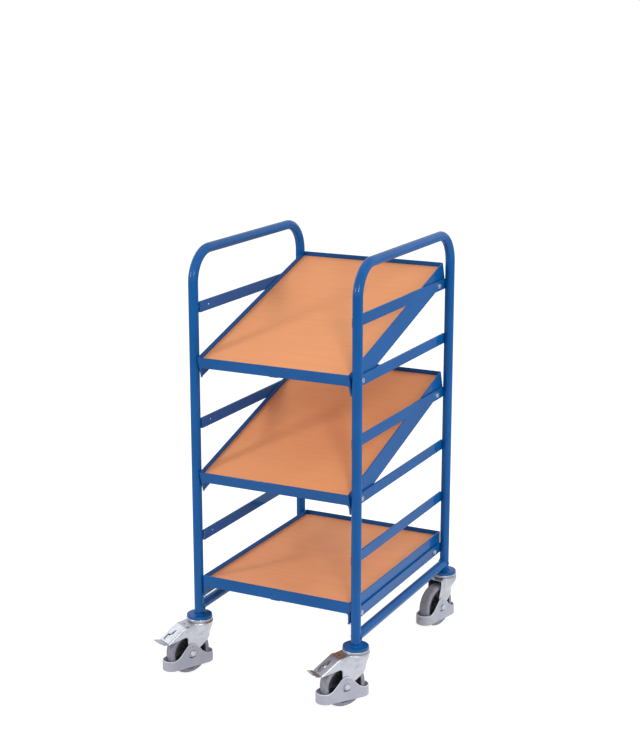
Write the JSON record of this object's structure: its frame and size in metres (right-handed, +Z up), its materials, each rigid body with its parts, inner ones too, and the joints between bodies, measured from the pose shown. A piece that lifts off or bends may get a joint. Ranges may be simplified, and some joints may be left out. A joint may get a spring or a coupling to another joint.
{
  "type": "sloped shelf cart",
  "caption": "Workshop cart of bent blue tube with bolted shelf trays and wooden panels, the upper shelves sloped to the front, on guarded swivel casters with front brakes.",
  "frame": {"origin": "on the floor, under the middle of the cart's own bounding box", "axes": "+Z up, -Y towards the low front edge of the sloped shelves, +X to the right seen from that front"},
  "size_m": [0.6058, 0.7896, 1.1945],
  "materials": {
    "blue_powder_coat": "gloss powder coat",
    "beech_board": "beech-grained board, satin",
    "zinc_steel": "bright zinc plate",
    "grey_guard": "moulded, fine grain",
    "grey_rubber": "non-marking, matte",
    "black_rim": "moulded, satin"
  },
  "bodies": {
    "frame": {"bar_left_1": "blue_powder_coat", "bar_left_2": "blue_powder_coat", "bar_left_3": "blue_powder_coat", "bar_left_4": "blue_powder_coat", "bar_left_5": "blue_powder_coat", "bar_left_6": "blue_powder_coat", "bar_right_1": "blue_powder_coat", "bar_right_2": "blue_powder_coat", "bar_right_3": "blue_powder_coat", "bar_right_4": "blue_powder_coat", "bar_right_5": "blue_powder_coat", "bar_right_6": "blue_powder_coat", "bolt_bottom_front_left": "zinc_steel", "bolt_bottom_front_right": "zinc_steel", "bolt_bottom_rear_left": "zinc_steel", "bolt_bottom_rear_right": "zinc_steel", "bolt_middle_front_left": "zinc_steel", "bolt_middle_front_right": "zinc_steel", "bolt_middle_rear_left": "zinc_steel", "bolt_middle_rear_right": "zinc_steel", "bolt_top_front_left": "zinc_steel", "bolt_top_front_right": "zinc_steel", "bolt_top_rear_left": "zinc_steel", "bolt_top_rear_right": "zinc_steel", "lower_tube_left": "blue_powder_coat", "lower_tube_right": "blue_powder_coat", "panel_bottom": "beech_board", "panel_middle": "beech_board", "panel_top": "beech_board", "side_hoop_left": "blue_powder_coat", "side_hoop_right": "blue_powder_coat", "swivel_head_front_left": "zinc_steel", "swivel_head_front_right": "zinc_steel", "swivel_head_rear_left": "zinc_steel", "swivel_head_rear_right": "zinc_steel", "tray_bottom": "blue_powder_coat", "tray_middle": "blue_powder_coat", "tray_top": "blue_powder_coat"},
    "caster_front_left": {"fork_front_left": "zinc_steel", "axle_front_left": "zinc_steel", "foot_guard_front_left": "grey_guard"},
    "wheel_front_left": {"wheel_rim_front_left": "black_rim", "tyre_front_left": "grey_rubber"},
    "caster_front_right": {"fork_front_right": "zinc_steel", "axle_front_right": "zinc_steel", "foot_guard_front_right": "grey_guard"},
    "wheel_front_right": {"wheel_rim_front_right": "black_rim", "tyre_front_right": "grey_rubber"},
    "caster_rear_left": {"fork_rear_left": "zinc_steel", "axle_rear_left": "zinc_steel", "foot_guard_rear_left": "grey_guard"},
    "wheel_rear_left": {"wheel_rim_rear_left": "black_rim", "tyre_rear_left": "grey_rubber"},
    "caster_rear_right": {"fork_rear_right": "zinc_steel", "axle_rear_right": "zinc_steel", "foot_guard_rear_right": "grey_guard"},
    "wheel_rear_right": {"wheel_rim_rear_right": "black_rim", "tyre_rear_right": "grey_rubber"},
    "pedal_front_left": {"brake_pedal_front_left": "zinc_steel"},
    "pedal_front_right": {"brake_pedal_front_right": "zinc_steel"}
  },
  "joints": [
    {"name": "swivel_front_left", "type": "hinge", "parent": "frame", "child": "caster_front_left", "pos_m": [-0.21701, -0.26172, 0], "axis": [0, 0, 1], "continuous": true},
    {"name": "wheel_spin_front_left", "type": "hinge", "parent": "caster_front_left", "child": "wheel_front_left", "pos_m": [-0.23583, -0.29757, 0.0625], "axis": [0.8854, -0.4648, 0], "continuous": true},
    {"name": "swivel_front_right", "type": "hinge", "parent": "frame", "child": "caster_front_right", "pos_m": [0.26499, -0.26172, 0], "axis": [0, 0, 1], "continuous": true},
    {"name": "wheel_spin_front_right", "type": "hinge", "parent": "caster_front_right", "child": "wheel_front_right", "pos_m": [0.24142, -0.29465, 0.0625], "axis": [0.8131, -0.5821, 0], "continuous": true},
    {"name": "swivel_rear_left", "type": "hinge", "parent": "frame", "child": "caster_rear_left", "pos_m": [-0.21701, 0.35628, 0], "axis": [0, 0, 1], "continuous": true},
    {"name": "wheel_spin_rear_left", "type": "hinge", "parent": "caster_rear_left", "child": "wheel_rear_left", "pos_m": [-0.22681, 0.31699, 0.0625], "axis": [0.9703, -0.2419, 0], "continuous": true},
    {"name": "swivel_rear_right", "type": "hinge", "parent": "frame", "child": "caster_rear_right", "pos_m": [0.26499, 0.35628, 0], "axis": [0, 0, 1], "continuous": true},
    {"name": "wheel_spin_rear_right", "type": "hinge", "parent": "caster_rear_right", "child": "wheel_rear_right", "pos_m": [0.25519, 0.31699, 0.0625], "axis": [0.9703, -0.2419, 0], "continuous": true},
    {"name": "brake_front_left", "type": "hinge", "parent": "caster_front_left", "child": "pedal_front_left", "pos_m": [-0.2607, -0.34494, 0.11128], "axis": [0.8854, -0.4648, 0], "range_deg": [0, 10]},
    {"name": "brake_front_right", "type": "hinge", "parent": "caster_front_right", "child": "pedal_front_right", "pos_m": [0.21027, -0.33815, 0.11128], "axis": [0.8131, -0.5821, 0], "range_deg": [0, 10]}
  ]
}
